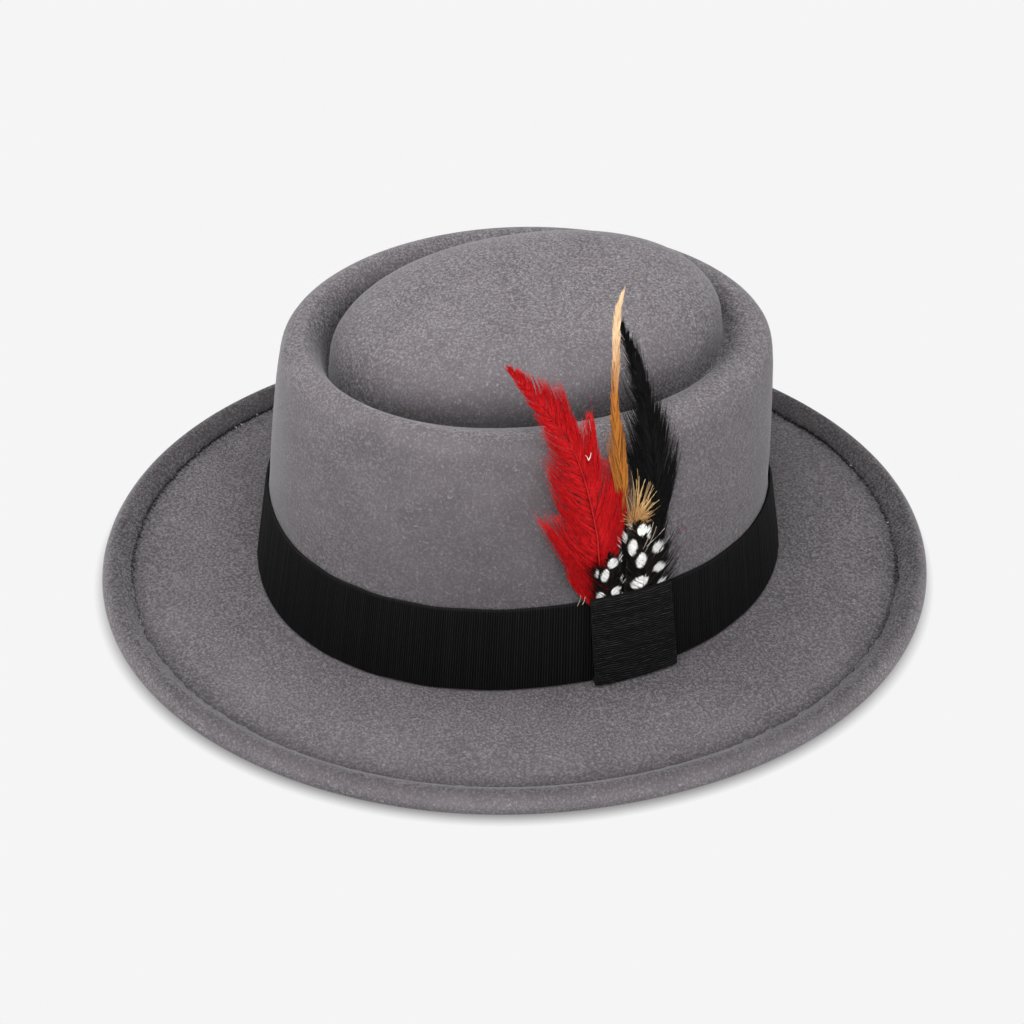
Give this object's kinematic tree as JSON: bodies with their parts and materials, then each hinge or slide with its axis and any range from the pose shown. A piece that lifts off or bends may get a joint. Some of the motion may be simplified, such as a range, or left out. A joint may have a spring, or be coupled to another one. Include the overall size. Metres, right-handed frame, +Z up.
{
  "type": "porkpie hat",
  "caption": "Felt porkpie hat with a ridged and domed crown, a wide brim with a rolled edge, a ribbon band with a flat tab and a feather plume.",
  "frame": {"origin": "middle of the bounding box on the plane the brim rests on", "axes": "+Z up through the crown, -Y toward the front of the hat, +X toward the wearer's left, where the tab and plume are"},
  "size_m": [0.3038, 0.332, 0.1721],
  "materials": {
    "felt": "matte wool felt, grey with fine pale fibres",
    "ribbon": "black ribbed grosgrain",
    "red_feather": "red dyed feather",
    "tan_feather": "tan feather",
    "black_feather": "black dyed feather",
    "tan_hair": "tan hair",
    "spotted_feather": "black feather with white spots"
  },
  "bodies": {
    "root": {"felt_body": "felt", "ribbon_band": "ribbon", "ribbon_tab": "ribbon", "feather_black": "black_feather", "feather_red": "red_feather", "feather_tan": "tan_feather", "hair_tuft": "tan_hair", "spotted_feather_right": "spotted_feather", "spotted_feather_left": "spotted_feather"}
  },
  "joints": []
}
